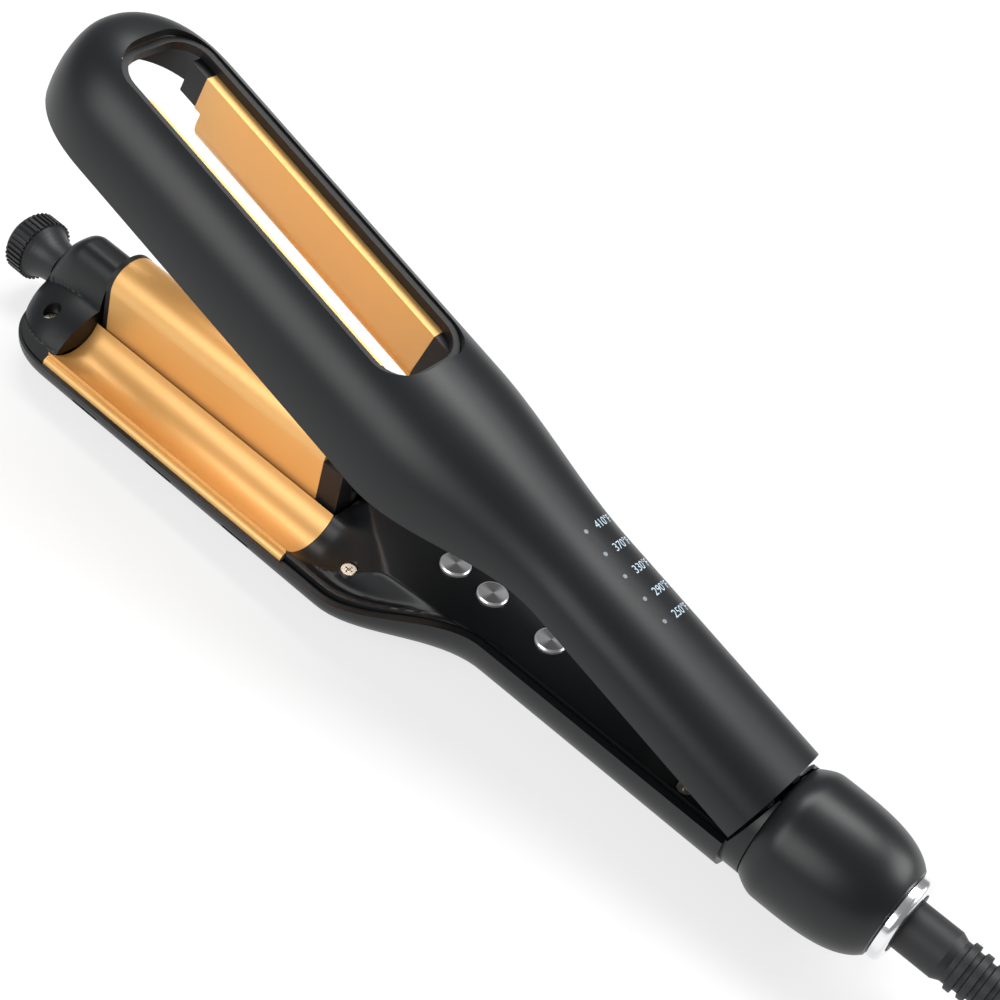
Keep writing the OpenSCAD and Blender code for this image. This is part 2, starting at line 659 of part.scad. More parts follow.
// Upper arm, drawn level and then swung open about the hinge
upper_shift = 0.6;
module swung() {
    translate([hinge_x, 0, hinge_z]) rotate([0, open_angle, 0])
        translate([-hinge_x, 0, -hinge_z]) children();
}
window_from = plate_start - 2.2;
window_to = plate_end + 13.8;
window_step = 2;
window_round = 8;
window_ledge = upper_zero + upper_head_h - 4.4;
function lamp_s(i) = lamp_start + lamp_step * i;
module upper_shell() {
    outer_s = stations(upper_shift, upper_nose, upper_len, 20, 8);
    inner_s = stations(upper_shift, upper_nose - 1, upper_len - wall, 20, 8);
    tip_w = upper_len - wall;
    color(black) swung() difference() {
        shell(
            [for (s = outer_s)
                nose_row(s, upper_nose, upper_len, -upper_half(s), upper_rim(s),
                    upper_zero + upper_back(s), upper_e)],
            [for (s = inner_s)
                nose_row(s, upper_nose - 1, tip_w, wall - upper_half(s), upper_rim(s),
                    upper_zero + upper_back(s) - wall, upper_e)]);
        // Window over the barrel
        translate([0, 0, upper_zero]) linear_extrude(height = 40)
            slot_plan(window_from - window_step, window_to + window_step,
                window_half_w + window_step, window_round + window_step);
        // Holes for the lamp pins
        for (i = [0 : lamp_count - 1])
            translate([at(lamp_s(i)), 0, upper_zero + 4]) cylinder(r = lamp_r + 0.05, h = 20);
        // Notch over the knob's neck
        translate([at(upper_len + 5), 0, knob_z - 3.3]) rotate([0, 90, 0])
            cylinder(r = knob_r - 0.2, h = 16);
    }
}
module window_frame() {
    color(soft_black) swung() translate([0, 0, window_ledge - 2.7]) difference() {
        linear_extrude(height = 2.7) slot_plan(window_from - window_step + 0.1,
            window_to + window_step - 0.1, window_half_w + window_step - 0.1, window_round + window_step);
        translate([0, 0, -1]) linear_extrude(height = 5)
            slot_plan(window_from, window_to, window_half_w, window_round);
    }
}

// Convex jaw: a round face below and a roof that follows the shell's inside
jaw_top = window_ledge - 2.8;
jaw_sink = 2.2;
jaw_z = plate_rim + trough_rise - jaw_sink;
jaw_t = 1.8;
jaw_from = plate_start + 4.9;
jaw_to = plate_end + 1.9;
jaw_out = upper_head_w / 2 - wall - 1.3;
function roof_z(y) =
    let(inner = upper_head_w / 2 - wall,
        base = upper_zero - upper_drop)
    min(jaw_top, base - 0.9 + (upper_head_h - wall + upper_drop)
        * pow(max(0, 1 - pow(y / inner, upper_e)), 1 / upper_e));
module jaw_profile(skin_t) {
    r = jaw_r - skin_t;
    y0 = trough_mid - r;
    y1 = jaw_out - skin_t;
    intersection() {
        union() {
            intersection() {
                translate([trough_mid, jaw_z]) circle(r = r, $fn = 96);
                translate([0, jaw_z - 20]) square([60, 20 + eps]);
            }
            polygon([[y0, jaw_z], for (i = [0 : 7]) let(y = mix(y0, y1, i / 7))
                [y, roof_z(y + skin_t) - skin_t], [y1, jaw_z]]);
        }
        translate([y0, jaw_z - r - 1]) square([y1 - y0, 60]);
    }
}
module jaw_bar(side, from, to) {
    translate([at(from), 0, 0]) scale([1, side, 1]) rotate([90, 0, -90])
        linear_extrude(height = to - from) mirror([1, 0]) children();
}
module tip_relief() {
    // Room for the cap's lobes under the tip end
    translate([at(plate_end + 40), -40, -20]) cube([40.5, 80, 20 + upper_zero - 1.5]);
}
module jaw(side) {
    color(gold) swung() difference() {
        jaw_bar(side, jaw_from, jaw_to) difference() {
            jaw_profile(0);
            jaw_profile(jaw_t);
        }
        tip_relief();
    }
}
module jaw_left() jaw(1);
module jaw_right() jaw(-1);
module jaw_ends() {
    color(soft_black) swung() for (side = [-1, 1]) {
        jaw_bar(side, window_from + 0.6, jaw_from) jaw_profile(0.1);
        difference() {
            jaw_bar(side, jaw_to, jaw_to + 6.5) jaw_profile(0.4);
            tip_relief();
        }
    }
}
heater_gap = 0.25;
module jaw_heaters() {
    from = trough_mid - 3.4;
    to = jaw_out - jaw_t - heater_gap;
    color(white) swung() for (side = [-1, 1])
        translate([at((jaw_from + jaw_to) / 2), side * (from + to) / 2, jaw_z - jaw_r + jaw_t + 1.7])
            cube([plate_len - 16, to - from, 1.5], center = true);
}
// Half width inside the upper shell at s and height z
function upper_inside(s, z) =
    (upper_half(s) - wall) * pow(1 - pow((z - upper_rim(s)) / (upper_zero + upper_back(s) - wall
        - upper_rim(s)), upper_e), 1 / upper_e);
cover_low = upper_zero + 0.8;
cover_t = 1.8;
module upper_cover() {
    ss = [for (i = [0 : 16]) mix(upper_shift + 0.3, plate_start - 5, i / 16)];
    rings = [for (s = ss) let(y = upper_inside(s, cover_low + cover_t) - 0.4)
        [[at(s), y, cover_low], [at(s), -y, cover_low], [at(s), -y, cover_low + cover_t],
         [at(s), y, cover_low + cover_t]]];
    color(soft_black) swung() difference() {
        skin(rings);
        for (p = upper_screw_spots)
            translate([at(p[0]), p[1], cover_low - 1]) cylinder(r = 1, h = 5);
    }
}
upper_screw_spots = [for (side = [-1, 1]) each [[24, side * 9], [plate_start - 16, side * 14]]];
module upper_screws() {
    color(steel) swung() for (p = upper_screw_spots)
        translate([at(p[0]), p[1], cover_low - 0.05]) mirror([0, 0, 1]) screw(screw_r, 3.4);
}
module hinge_bracket() {
    base = cover_low + cover_t + 0.05;
    color(soft_black) swung() {
        difference() {
            union() {
                for (side = [-1, 1]) translate([0, side * ear_y + ear_t / 2, 0]) rotate([90, 0, 0])
                    linear_extrude(height = ear_t) {
                        translate([hinge_x, hinge_z]) circle(r = 3.4);
                        polygon([[at(16), base], [at(0.6), base], [at(-1), base - 1.5],
                            [hinge_x - 3.2, hinge_z - 1.1],
                            [hinge_x + 2.4, hinge_z + 2.4], [hinge_x - 2, base + 3.4], [at(16), base + 3.4]]);
                    }
                translate([at(16), -ear_y - 1, base]) cube([13, 2 * ear_y + 2, 1.6]);
            }
            translate([hinge_x, 30, hinge_z]) rotate([90, 0, 0]) cylinder(r = pin_r + pin_clear, h = 60);
        }
    }
}
lamp_board_z = upper_zero + upper_handle_h - wall - 4.5;
module lamp_board() {
    color(green) swung() translate([at(lamp_s(lamp_count - 1) + 5), -6, lamp_board_z])
        cube([lamp_step * (lamp_count - 1) + 10, 12, 1.6]);
}
module light_pipes() {
    color(white) swung() for (i = [0 : lamp_count - 1]) {
        translate([at(lamp_s(i)), 0, lamp_board_z + 1.6])
            cylinder(r = lamp_r, h = upper_back(lamp_s(i)) + upper_zero - lamp_board_z - 1.5);
        translate([at(lamp_s(i)), 0, lamp_board_z + 1.6]) cylinder(r = lamp_r + 0.8, h = 1.2);
    }
}

// Upright spring between the deck's cup and the upper arm's cover
spring_low = deck_top - cup_deep;
spring_top = hinge_z + (hinge_x - at(spring_s)) * tan(open_angle)
    + (cover_low - hinge_z) / cos(open_angle) - (spring_r + 0.4) * tan(open_angle) - 0.2;
spring_wire = 0.9;
module arm_spring() {
    turns = 5;
    steps = 16;
    r = spring_wire / 2;
    tall = spring_top - spring_low - spring_wire;
    pts = [for (i = [0 : turns * steps])
        let(k = i / (turns * steps), a = 360 * i / steps)
        [at(spring_s) + (spring_r - r) * cos(a), (spring_r - r) * sin(a),
         spring_low + r + tall * mix(k, ease(k), 0.6)]];
    color(steel) tube(pts, r, 6);
}

// Tube swept along points, its rings square to the way it runs
function unit(v) = v / norm(v);
module tube(pts, r, sides) {
    n = len(pts);
    rings = [for (i = [0 : n - 1])
        let(t = unit(pts[min(n - 1, i + 1)] - pts[max(0, i - 1)]),
            w = unit(cross(t, [0, 0, 1])), v = cross(w, t))
        [for (k = [0 : sides - 1]) let(a = 90 + 360 * k / sides) pts[i] + r * (cos(a) * w + sin(a) * v)]];
    polyhedron([each flat_list(rings), pts[0], pts[n - 1]], [
        for (j = [0 : n - 2]) for (i = [0 : sides - 1])
            let(a = j * sides + i, b = j * sides + (i + 1) % sides)
            each [[a, b, b + sides], [a, b + sides, a + sides]],
        for (i = [0 : sides - 1]) each [
            [(i + 1) % sides, i, n * sides],
            [(n - 1) * sides + i, (n - 1) * sides + (i + 1) % sides, n * sides + 1]]]);
}

// Free cord: it sinks to the table and draws aside to the outer run of the hank
tie_t = 0.7;
tie_gap = 0.1;
coil_low = cord_d / 2 + tie_t + tie_gap;
coil_outer = coil_inner + coil_pitch;
cord_exit = at(0) + relief_end;
cord_last = 90;
cord_r = cord_d / 2;
module cord() {
    pts = [for (i = [0 : 20])
        let(d = cord_last * i / 20)
        [cord_exit + d, -coil_outer * ease((d - 10) / (cord_last - 10)),
         mix(handle_rim, coil_low, ease((d - 6) / 80))]];
    color(black) tube(pts, cord_r, 8);
}

// Rest of the cord in a hank of four turns, each a layer over the last
coil_x = cord_exit + cord_last + cord_d;
coil_lift = cord_d + 0.6;
fold_steps = 12;
function coil_r(u) = coil_inner + coil_pitch * abs(1 - abs(u) / 360);
function coil_z(u) = coil_low + coil_lift * (ease((u + 450) / 180) + ease((u + 90) / 180)
    + ease((u - 270) / 180));
function coil_point(u, run) = [coil_x + run + coil_r(u) * sin(u), -coil_r(u) * cos(u), coil_z(u)];
coil_run = [for (j = [0 : 7]) for (i = [0 : fold_steps])
    coil_point(-720 + 180 * (j + i / fold_steps), j % 2 == 0 ? hank_run : 0)];
// The end runs on over the hank and sinks to the plug
coil_tail = 72;
coil_top = coil_low + 3 * coil_lift;
plug_z = cord_r + coil_lift;
plug_y = 12 - coil_outer;
coil_pts = [[coil_x - cord_d, -coil_outer, coil_low], coil_point(-720, 0), each coil_run,
    for (d = [0 : 6 : coil_tail]) [coil_x + hank_run + d,
        mix(-coil_outer, plug_y, ease(d / (coil_tail - 6))),
        mix(coil_top, plug_z, ease((d - 12) / (coil_tail - 18)))]];
coil_gap = min([for (i = [0 : len(coil_run) - 1]) for (j = [i + fold_steps + 2 : len(coil_run) - 1])
    norm(coil_run[i] - coil_run[j])]) - cord_d;
echo(coil_gap = coil_gap);
module cord_coil() {
    color(black) tube(coil_pts, cord_r, 6);
}
// Bands that hold the two runs of the hank together
module tie_plan(from, to, over) {
    translate([from - cord_r - over, coil_low - cord_r - over])
        square([to - from + cord_d + 2 * over, coil_top - coil_low + cord_d + 2 * over]);
}
module cord_tie() {
    far = coil_r(180);
    color(soft_black) for (run = [[-coil_outer, -coil_inner], [far, far]])
        translate([coil_x + hank_run / 2 - 4, 0, 0]) rotate([90, 0, 90]) linear_extrude(height = 8)
            difference() {
                tie_plan(run[0], run[1], tie_t + tie_gap);
                tie_plan(run[0], run[1], tie_gap);
            }
}
plug_x = coil_x + hank_run + coil_tail;
module plug_relief() {
    step = 22 / 6;
    color(soft_black) translate([plug_x, plug_y, plug_z]) rotate([0, 90, 0]) rotate_extrude() polygon([
        [0, 0], [cord_r + 0.8, 0],
        for (i = [0 : 5]) let(r = cord_r + 1 + 0.35 * i)
            each [[r, step * i + 0.3], [r, step * (i + 0.6)], [r - 0.8, step * (i + 0.7)],
                [r - 0.8, step * (i + 0.95)]],
        [cord_r + 2, 22], [0, 22]]);
}
plug_len = 30;
module plug_body() {
    h = plug_z - 0.1;
    color(soft_black) translate([plug_x + 22, plug_y, plug_z]) rotate([90, 0, 90]) {
        translate([0, 0, 7]) linear_extrude(height = plug_len - 7)
            polygon([[-13, -h + 4], [-9, -h], [9, -h], [13, -h + 4],
                [13, h - 4], [9, h], [-9, h], [-13, h - 4]]);
        rotate_extrude() polygon([[0, 0], [7, 0], [8.5, 2], [9, 7.01], [0, 7.01]]);
    }
}
blade_gap = 12.7;
module plug_pins() {
    color(steel) for (side = [-1, 1])
        translate([plug_x + 22 + plug_len, plug_y + side * blade_gap / 2 - 0.75, plug_z - 3.2])
            cube([16.5, 1.5, 6.4]);
}

lower_shell();
lower_deck();
tip_cap();
trough_left();
trough_right();
trough_heaters();
barrel_guides();
control_board();
tactile_switches();
supply_leads();
thermal_fuse();
deck_screws();
spring_cup();
tip_screw();
hinge_pin();
arm_spring();
rear_neck();
swivel_dome();
chrome_ring();
swivel_collar();
barrel();
barrel_carrier();
barrel_heater();
knob();
lift_screw();
button_power();
button_plus();
button_minus();
upper_shell();
window_frame();
jaw_left();
jaw_right();
jaw_ends();
jaw_heaters();
upper_cover();
hinge_bracket();
lamp_board();
light_pipes();
upper_screws();
strain_relief();
cord();
cord_coil();
cord_tie();
plug_relief();
plug_body();
plug_pins();
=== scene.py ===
import math
import bpy
from mathutils import Matrix, Vector


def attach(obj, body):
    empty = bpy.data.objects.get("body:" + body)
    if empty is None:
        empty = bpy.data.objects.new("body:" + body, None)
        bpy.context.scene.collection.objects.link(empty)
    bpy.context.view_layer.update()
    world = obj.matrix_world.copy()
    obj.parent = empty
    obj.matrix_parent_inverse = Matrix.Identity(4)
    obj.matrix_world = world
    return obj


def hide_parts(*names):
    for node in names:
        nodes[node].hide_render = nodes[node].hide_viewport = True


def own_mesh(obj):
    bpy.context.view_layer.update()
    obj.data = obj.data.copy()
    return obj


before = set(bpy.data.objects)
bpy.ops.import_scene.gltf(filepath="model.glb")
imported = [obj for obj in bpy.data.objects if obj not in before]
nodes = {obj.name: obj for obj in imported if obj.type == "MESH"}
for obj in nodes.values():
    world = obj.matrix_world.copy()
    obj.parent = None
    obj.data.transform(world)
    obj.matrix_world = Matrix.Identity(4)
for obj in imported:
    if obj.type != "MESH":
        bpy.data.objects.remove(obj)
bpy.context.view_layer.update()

mm = 0.001


# Studio camera, at the angle the waver was photographed from
cameraSet = {
    "lens": 68.58, "clip": 0.01, "place": (0.25153, -0.30438, 0.36642), "right": (0.7401, 0.6335, 0.2255),
    "up": (-0.5741, 0.4206, 0.7025), "back": (0.3502, -0.6494, 0.675),
}
bpy.ops.object.camera_add()
viewCamera = bpy.context.object
viewCamera.name = "studioCamera"
viewCamera.data.lens = cameraSet["lens"]
viewCamera.data.clip_start = cameraSet["clip"]
viewCamera.matrix_world = Matrix([(*(cameraSet[k][i] for k in ("right", "up", "back", "place")),)
                                  for i in range(3)] + [(0, 0, 0, 1)])
bpy.context.scene.camera = viewCamera
print("camera placed")


def ease(k):
    # 0 to 1, slow at both ends
    t = min(1, max(0, k))
    return t * t * (3 - 2 * t)


def blendTo(a, b, k):
    return a + (b - a) * k


def roundWire(name, places, radius, resolution):
    # the bevel depth is 1, so each point's own radius is the wire's
    curve = bpy.data.curves.new(name, "CURVE")
    curve.dimensions = "3D"
    curve.bevel_depth = 1.0
    curve.bevel_resolution = resolution
    curve.use_fill_caps = True
    line = curve.splines.new("POLY")
    line.points.add(len(places) - 1)
    for point, place in zip(line.points, places):
        point.co = (*(c * mm for c in place), 1)
        point.radius = radius * mm
    wire = bpy.data.objects.new(name, curve)
    bpy.context.scene.collection.objects.link(wire)
    return wire


# Power cord, in mm: down to the table, then into a tied hank of four turns with the plug behind it
cordSet = {
    "exitX": 268.1, "exitZ": 21.7, "thick": 7.0, "free": 90.0, "freeSteps": 20, "asideFrom": 10,
    "sinkFrom": 6, "sinkOver": 80, "low": 4.3, "turns": 4, "foldSteps": 12, "run": 105.0, "inner": 21.0,
    "pitch": 7.6, "lift": 7.6, "risesAt": (-450, -90, 270), "tail": 72, "tailStep": 6, "plugZ": 11.1,
    "plugAside": 12.0,
}
hankOuter = cordSet["inner"] + cordSet["pitch"]
hankX = cordSet["exitX"] + cordSet["free"] + cordSet["thick"]
hankTop = cordSet["low"] + len(cordSet["risesAt"]) * cordSet["lift"]


def hankPoint(turn, run):
    # turn is in degrees from the middle of the hank, and a layer rises in the half turn after risesAt
    r = cordSet["inner"] + cordSet["pitch"] * abs(1 - abs(turn) / 360)
    a = math.radians(turn)
    layer = sum(ease((turn - start) / 180) for start in cordSet["risesAt"])
    return (hankX + run + r * math.sin(a), -r * math.cos(a), cordSet["low"] + cordSet["lift"] * layer)


cordLine = []
for i in range(cordSet["freeSteps"] + 1):
    d = cordSet["free"] * i / cordSet["freeSteps"]
    aside = ease((d - cordSet["asideFrom"]) / (cordSet["free"] - cordSet["asideFrom"]))
    sunk = ease((d - cordSet["sinkFrom"]) / cordSet["sinkOver"])
    z = blendTo(cordSet["exitZ"], cordSet["low"], sunk)
    cordLine.append((cordSet["exitX"] + d, -hankOuter * aside, z))
hankStart = -180 * cordSet["turns"]
cordLine.append(hankPoint(hankStart, 0))
for fold in range(2 * cordSet["turns"]):
    run = 0 if fold % 2 else cordSet["run"]
    cordLine += [hankPoint(hankStart + 180 * (fold + i / cordSet["foldSteps"]), run)
                 for i in range(cordSet["foldSteps"] + 1)]
tail, tailStep = cordSet["tail"], cordSet["tailStep"]
for d in range(0, tail + 1, tailStep):
    aside = ease(d / (tail - tailStep))
    raised = ease((d - 2 * tailStep) / (tail - 3 * tailStep))
    cordLine.append((hankX + cordSet["run"] + d, -hankOuter + cordSet["plugAside"] * aside,
                     blendTo(hankTop, cordSet["plugZ"], raised)))

powerCord = roundWire("powerCord", cordLine, cordSet["thick"] / 2, 6)
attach(powerCord, "lower")
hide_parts("cord", "cord_coil")


# One output of a shader node, with arithmetic that adds Math nodes
class Value:
    def __init__(self, sheet, socket):
        self.sheet, self.socket = sheet, socket

    def math(self, operation, other=None):
        return self.sheet.add("ShaderNodeMath", {"operation": operation}, {0: self, 1: other})[0]

    def __add__(self, other):
        return self.math("ADD", other)

    def __mul__(self, other):
        return self.math("MULTIPLY", other)

    def __truediv__(self, other):
        return self.math("DIVIDE", other)

    __radd__ = __add__

    def root(self):
        return self.math("SQRT")

    def clip(self, low, high):
        # 0 below low, 1 above high
        return self.sheet.add("ShaderNodeMapRange", {"clamp": True}, {0: self, 1: low, 2: high})[0]


# Nodes of a material, or of the world; every node comes from add
class NodeSheet:
    def __init__(self, tree):
        self.tree = tree

    def put(self, socket, value):
        if isinstance(value, Value):
            self.tree.links.new(value.socket, socket)
        elif value is not None:
            socket.default_value = value

    def add(self, kind, settings=None, sockets=None):
        # a node by its type, settings and socket values; gives its outputs
        node = self.tree.nodes.new(kind)
        for key, value in (settings or {}).items():
            setattr(node, key, value)
        for key, value in (sockets or {}).items():
            self.put(node.inputs[key], value)
        return [Value(self, out) for out in node.outputs]


class Finish(NodeSheet):
    def __init__(self, name, roughness=0.5, metallic=0.0, coat=0.0, coatRoughness=0.1, specular=0.5):
        self.material = bpy.data.materials.new(name)
        self.material.use_nodes = True
        super().__init__(self.material.node_tree)
        self.shader = next(n for n in self.tree.nodes if n.type == "BSDF_PRINCIPLED")
        for key, value in (("Roughness", roughness), ("Metallic", metallic), ("Coat Weight", coat),
                           ("Coat Roughness", coatRoughness), ("Specular IOR Level", specular)):
            self.shader.inputs[key].default_value = value

    def place(self, shift=(0, 0, 0), scale=(1, 1, 1)):
        spot = self.add("ShaderNodeTexCoord")[3]  # object coordinates
        return self.add("ShaderNodeMapping", {}, {"Vector": spot, "Location": shift, "Scale": scale})[0]

    def noise(self, vector, scale, detail=4.0):
        return self.add("ShaderNodeTexNoise", {}, {"Vector": vector, "Scale": scale, "Detail": detail})[0]

    def mix(self, factor, first, second):
        # of two colours, which a Mix node keeps in sockets 6 and 7
        return self.add("ShaderNodeMix", {"data_type": "RGBA"}, {0: factor, 6: first, 7: second})[2]

    def bump(self, height, strength, distance):
        out = self.add("ShaderNodeBump", {}, {"Height": height, "Strength": strength, "Distance": distance})
        self.put(self.shader.inputs["Normal"], out[0])

    def colour(self, value):
        self.put(self.shader.inputs["Base Color"], value)

    def rough(self, value):
        self.put(self.shader.inputs["Roughness"], value)


# Spark-eroded moulding: fine grain, slow change of tone and a little polish from hands
plasticSet = {"specular": 0.38, "slow": 28.0, "slowTone": 0.7, "fineTone": 0.3, "polish": 0.05,
              "slowRough": 0.08, "fineRough": 0.05, "bump": 0.00004}


def mouldedPlastic(name, dark, light, roughness, grain, depth):
    made = Finish(name, roughness, specular=plasticSet["specular"])
    spot = made.place()
    fine = made.noise(spot, grain, 3.0)
    slow = made.noise(spot, plasticSet["slow"], 2.0)
    tone = slow * plasticSet["slowTone"] + fine * plasticSet["fineTone"]
    made.colour(made.mix(tone, (*dark, 1), (*light, 1)))
    made.rough(roughness - plasticSet["polish"] + slow * plasticSet["slowRough"]
               + fine * plasticSet["fineRough"])
    made.bump(fine, depth, plasticSet["bump"])
    return made.material


# Turned, plated or drawn metal, with a fine grain
metalSet = {"slow": 60.0, "polish": 0.03, "fineRough": 0.08, "depth": 0.08, "bump": 0.00001}


def plainMetal(name, dark, light, roughness, grain):
    made = Finish(name, roughness, 1.0)
    spot = made.place()
    fine = made.noise(spot, grain, 4.0)
    slow = made.noise(spot, metalSet["slow"], 2.0)
    made.colour(made.mix(slow, (*dark, 1), (*light, 1)))
    made.rough(roughness - metalSet["polish"] + fine * metalSet["fineRough"])
    made.bump(fine, metalSet["depth"], metalSet["bump"])
    return made.material


# Coated aluminium: a warm base that drifts a little in tone, with faint drawing lines along the plate
goldSet = {"dark": (0.80, 0.44, 0.135, 1), "light": (0.90, 0.53, 0.19, 1), "metallic": 0.4, "coat": 0.15,
           "coatRough": 0.3, "slow": 22.0, "lines": (40, 1500, 1500), "slowTone": 0.8, "lineTone": 0.2,
           "rough": 0.33, "slowRough": 0.1, "lineRough": 0.06, "depth": 0.12, "bump": 0.00002}


def goldCoat(name):
    made = Finish(name, goldSet["rough"], goldSet["metallic"], goldSet["coat"], goldSet["coatRough"])
    slow = made.noise(made.place(), goldSet["slow"], 2.0)
    lines = made.noise(made.place(scale=goldSet["lines"]), 1.0, 3.0)
    tone = slow * goldSet["slowTone"] + lines * goldSet["lineTone"]
    made.colour(made.mix(tone, goldSet["dark"], goldSet["light"]))
    made.rough(goldSet["rough"] + slow * goldSet["slowRough"] + lines * goldSet["lineRough"])
    made.bump(lines, goldSet["depth"], goldSet["bump"])
    return made.material


# Name, darkest and lightest tone, roughness, grain, and for plastics the depth of the grain
plastics = {
    "shell": ("satinBlackShell", (0.004, 0.0048, 0.0058), (0.0075, 0.0086, 0.0100), 0.36, 2600.0, 0.15),
    "inner": ("mattBlackInner", (0.006, 0.006, 0.0068), (0.011, 0.011, 0.0125), 0.45, 2200.0, 0.25),
    "rubber": ("darkRubber", (0.012, 0.0125, 0.014), (0.02, 0.021, 0.023), 0.5, 1600.0, 0.35),
    "cord": ("cordJacket", (0.014, 0.014, 0.016), (0.024, 0.024, 0.027), 0.45, 1900.0, 0.3),
    "knob": ("knobPlastic", (0.01, 0.0105, 0.012), (0.018, 0.019, 0.021), 0.42, 2400.0, 0.25),
    "ceramic": ("heaterCeramic", (0.68, 0.67, 0.63), (0.8, 0.79, 0.75), 0.5, 1500.0, 0.3),
    "board": ("boardGreen", (0.015, 0.09, 0.04), (0.03, 0.14, 0.07), 0.4, 700.0, 0.3),
    "lamp": ("lampClear", (0.16, 0.18, 0.2), (0.24, 0.27, 0.3), 0.25, 900.0, 0.1),
    "print": ("numberPrint", (0.4, 0.52, 0.62), (0.52, 0.62, 0.7), 0.5, 2500.0, 0.1),
}
metals = {
    "steel": ("screwSteel", (0.7, 0.66, 0.58), (0.84, 0.8, 0.72), 0.36, 1500.0),
    "chrome": ("brightChrome", (0.82, 0.83, 0.85), (0.9, 0.9, 0.91), 0.2, 900.0),
    "copper": ("leadCopper", (0.62, 0.33, 0.2), (0.74, 0.42, 0.27), 0.35, 1200.0),
}
finishes = {key: mouldedPlastic(*values) for key, values in plastics.items()}
finishes |= {key: plainMetal(*values) for key, values in metals.items()}
finishes["gold"] = goldCoat("goldCoating")


# Waver's own sizes, in mm; s is the distance from the arms' rear end
body = {
    "plateStart": 133.8, "plateLen": 93, "tip": 23.2, "upperTip": 32.4, "wall": 2.2, "handleW": 33.4,
    "headW": 58.7, "handleRim": 21.7, "plateRim": 11, "handleLow": 5.8, "headLow": -0.4, "waistFrom": 76.4,
    "waistTo": 120, "upperEarly": 7, "upperLonger": 10, "upperW": 33.7, "upperHeadW": 51, "upperH": 14.2,
    "upperHeadH": 16.7, "upperDrop": 10.4, "windowW": 12.6, "open": 15.9, "gap": 0.6, "hinge": (190.3, 19.7),
    "lowerRound": 2.46, "upperRound": 2.28, "lowerNose": 24.2, "upperNose": 30.4, "noseRound": 2.4,
    "noseCrown": 0.35, "noseStop": 0.999, "knobZ": 15.5, "knobR": 9.4, "barrelTop": 36.7, "troughIn": 9.2,
    "troughEdge": 1.24,
}
plateEnd = body["plateStart"] + body["plateLen"]
lowerLen = plateEnd + body["tip"]
upperLen = plateEnd + body["upperTip"]
headMid = body["plateStart"] + body["plateLen"] / 2
lowerNose = lowerLen - body["lowerNose"]
upperNose = upperLen - body["upperNose"]
upperZero = body["handleRim"] + body["gap"]
cutDeep = 20  # how long most cutters are
swing = (Matrix.Translation((body["hinge"][0] * mm, 0, body["hinge"][1] * mm))
         @ Matrix.Rotation(math.radians(body["open"]), 4, "Y")
         @ Matrix.Translation((-body["hinge"][0] * mm, 0, -body["hinge"][1] * mm)))


def signedPower(v, e):
    return math.copysign(abs(v) ** e, v)


def waist(s):
    # 0 at the handle, 1 at the plates
    return ease((s - body["waistFrom"]) / (body["waistTo"] - body["waistFrom"]))


def upperWaist(s):
    return ease((s - body["waistFrom"] + body["upperEarly"])
                / (body["waistTo"] - body["waistFrom"] + body["upperLonger"]))


def nose(s, start, end, e):
    # 1 up to the start, then round down to 0 at the end
    c = min(1, max(0, (s - start) / (end - start)))
    return max(0, 1 - c ** e) ** (1 / e)


def lowerHalf(s):
    return blendTo(body["handleW"], body["headW"], waist(s)) / 2


def lowerRim(s):
    return blendTo(body["handleRim"], body["plateRim"], waist(s))


def upperHalf(s):
    return blendTo(body["upperW"], body["upperHeadW"], upperWaist(s)) / 2


def upperRim(s):
    return upperZero - body["upperDrop"] * upperWaist(s)


def upperCrown(s):
    return upperZero + blendTo(body["upperH"], body["upperHeadH"], upperWaist(s))


def along(start, middle, end, steps, tipSteps):
    # even steps, then closer and closer ones round the nose
    return [blendTo(start, middle, i / steps) for i in range(steps + 1)] + [
        blendTo(middle, end, math.sin(math.pi / 2 * i / tipSteps) * body["noseStop"])
        for i in range(1, tipSteps + 1)]


def arcRow(s, noseFrom, noseTo, half, rim, crown, e, steps):
    # one rounded half section of an arm
    c = nose(s, noseFrom, noseTo, body["noseRound"])
    rise = (crown - rim) * blendTo(body["noseCrown"], 1, c)
    return [(headMid - s, half * c * signedPower(math.cos(math.pi * i / steps), 2 / e),
             max(0, rim + rise * max(0, math.sin(math.pi * i / steps)) ** (2 / e)))
            for i in range(steps + 1)]


def startClean():
    if bpy.context.object and bpy.context.object.mode != "OBJECT":
        bpy.ops.object.mode_set(mode="OBJECT")
    bpy.ops.object.select_all(action="DESELECT")


def take(piece):
    startClean()
    piece.select_set(True)
    bpy.context.view_layer.objects.active = piece


def openMesh(piece, selected="SELECT"):
    take(piece)
    bpy.ops.object.mode_set(mode="EDIT")
    bpy.ops.mesh.select_all(action=selected)


def closeMesh():
    bpy.ops.object.mode_set(mode="OBJECT")


def faceOutward(piece, weld=0.0):
    openMesh(piece)
    if weld:
        bpy.ops.mesh.remove_doubles(threshold=weld)
    bpy.ops.mesh.normals_make_consistent(inside=False)
    closeMesh()


def gridPiece(name, rows):
    # a grid whose points are set section by section
    startClean()
    bpy.ops.mesh.primitive_grid_add(x_subdivisions=len(rows[0]) - 1, y_subdivisions=len(rows) - 1, size=0.1)
    piece = bpy.context.object
    piece.name = name
    flat = [c * mm for row in rows for p in row for c in p]
    assert len(flat) == 3 * len(piece.data.vertices), name
    piece.data.vertices.foreach_set("co", flat)
    piece.data.update()
    return piece


def useModifier(piece, kind, **settings):
    take(piece)
    modifier = piece.modifiers.new("work", kind)
    for key, value in settings.items():
        setattr(modifier, key, value)
    bpy.ops.object.modifier_apply(modifier="work")


def cutWith(piece, cutter):
    useModifier(piece, "BOOLEAN", operation="DIFFERENCE", solver="EXACT", object=cutter)
    bpy.data.objects.remove(cutter)


